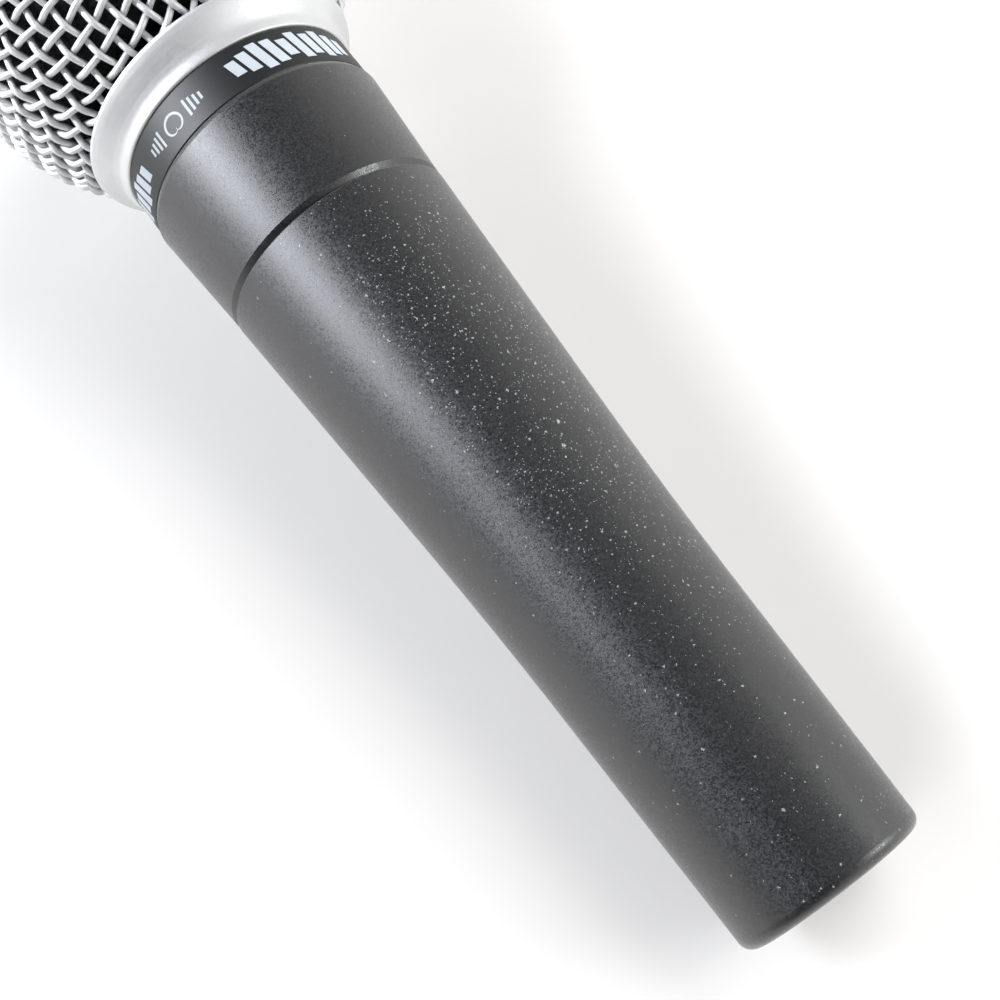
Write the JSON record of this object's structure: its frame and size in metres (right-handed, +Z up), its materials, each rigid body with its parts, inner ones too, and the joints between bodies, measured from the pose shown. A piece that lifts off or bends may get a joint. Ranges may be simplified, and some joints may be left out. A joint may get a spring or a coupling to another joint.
{
  "type": "dynamic microphone",
  "caption": "Hand-held dynamic vocal microphone with a tapered metal handle, woven wire ball grille, foam windscreen, shock-mounted moving-coil cartridge and round plug socket in its tail.",
  "frame": {"origin": "centre of the bounding box, on the surface the microphone lies on", "axes": "+X towards the grille ball, along the microphone as it lies; +Z up; the microphone's own axis rises 5.98 degrees towards +X because it rests on its ball and its tail rim"},
  "size_m": [0.1624, 0.051, 0.051],
  "materials": {
    "handle_enamel": "satin charcoal enamel, small paint chips",
    "housing_enamel": "satin charcoal enamel",
    "band_print": "satin dark grey with pale printed icons",
    "satin_nickel": "satin nickel plate",
    "mesh_wire": "satin nickel plated steel wire",
    "foam": "open-cell dark foam",
    "contact_metal": "polished plate",
    "insert_plastic": "moulded",
    "screw_steel": "blackened",
    "core_steel": "laminated",
    "bobbin_nylon": "moulded",
    "winding_copper": "enamelled copper wire",
    "potting_resin": "cast",
    "lead_black": "insulated",
    "lead_red": "insulated",
    "lead_white": "insulated",
    "lead_yellow": "insulated",
    "lead_green": "insulated",
    "mount_rubber": "moulded",
    "case_plastic": "moulded",
    "yoke_steel": "zinc plated",
    "magnet_alloy": "ground",
    "coil_wire": "enamelled wire",
    "diaphragm_film": "clear film",
    "cap_metal": "satin",
    "screen_cloth": "woven",
    "felt": "pressed",
    "board_laminate": "phenolic board"
  },
  "bodies": {
    "handle": {"handle_shell": "handle_enamel", "connector_insert": "insert_plastic", "contact_pin_1": "contact_metal", "contact_pin_2": "contact_metal", "contact_pin_3": "contact_metal", "transformer_core": "core_steel", "transformer_bobbin": "bobbin_nylon", "transformer_winding": "winding_copper", "transformer_potting": "potting_resin", "connector_lead_1": "lead_black", "connector_lead_2": "lead_red", "connector_lead_3": "lead_white", "capsule_lead_1": "lead_yellow", "capsule_lead_2": "lead_green"},
    "lock_screw": {"lock_screw": "screw_steel"},
    "housing": {"cartridge_housing": "housing_enamel", "name_band": "band_print", "shock_mount": "mount_rubber"},
    "capsule": {"capsule_case": "case_plastic", "magnet_yoke": "yoke_steel", "magnet": "magnet_alloy", "pole_piece": "yoke_steel", "top_plate": "yoke_steel", "diaphragm_clamp": "case_plastic", "resonator_cap": "cap_metal", "front_screen": "screen_cloth", "felt_disc": "felt", "terminal_board": "board_laminate"},
    "moving_coil": {"voice_coil": "coil_wire", "diaphragm": "diaphragm_film"},
    "windscreen": {"foam_windscreen": "foam"},
    "grille": {"grille_collar": "satin_nickel", "grille_mesh_lower": "mesh_wire", "grille_belt": "satin_nickel", "grille_mesh_upper": "mesh_wire"}
  },
  "joints": [
    {"name": "lock_screw_travel", "type": "slide", "parent": "handle", "child": "lock_screw", "axis": [0, -1, 0], "range_m": [0, 0.0018]},
    {"name": "housing_lift", "type": "slide", "parent": "handle", "child": "housing", "axis": [0.9946, 0, 0.1041], "range_m": [0, 0.03], "deforming": ["capsule_lead_1", "capsule_lead_2"]},
    {"name": "capsule_float", "type": "slide", "parent": "housing", "child": "capsule", "axis": [0.9946, 0, 0.1041], "range_m": [-0.0006, 0.0006], "stiffness_N_per_m": 3000, "deforming": ["shock_mount", "capsule_lead_1", "capsule_lead_2"]},
    {"name": "diaphragm_travel", "type": "slide", "parent": "capsule", "child": "moving_coil", "axis": [0.9946, 0, 0.1041], "range_m": [-0.0003, 0.0003], "stiffness_N_per_m": 500, "deforming": ["diaphragm"]},
    {"name": "grille_lift", "type": "slide", "parent": "housing", "child": "windscreen", "axis": [0.9946, 0, 0.1041], "range_m": [0, 0.055]},
    {"name": "grille_turn", "type": "hinge", "parent": "windscreen", "child": "grille", "pos_m": [0.03527, 0, 0.02337], "axis": [0.9946, 0, 0.1041], "range_deg": [0, 1620]}
  ]
}
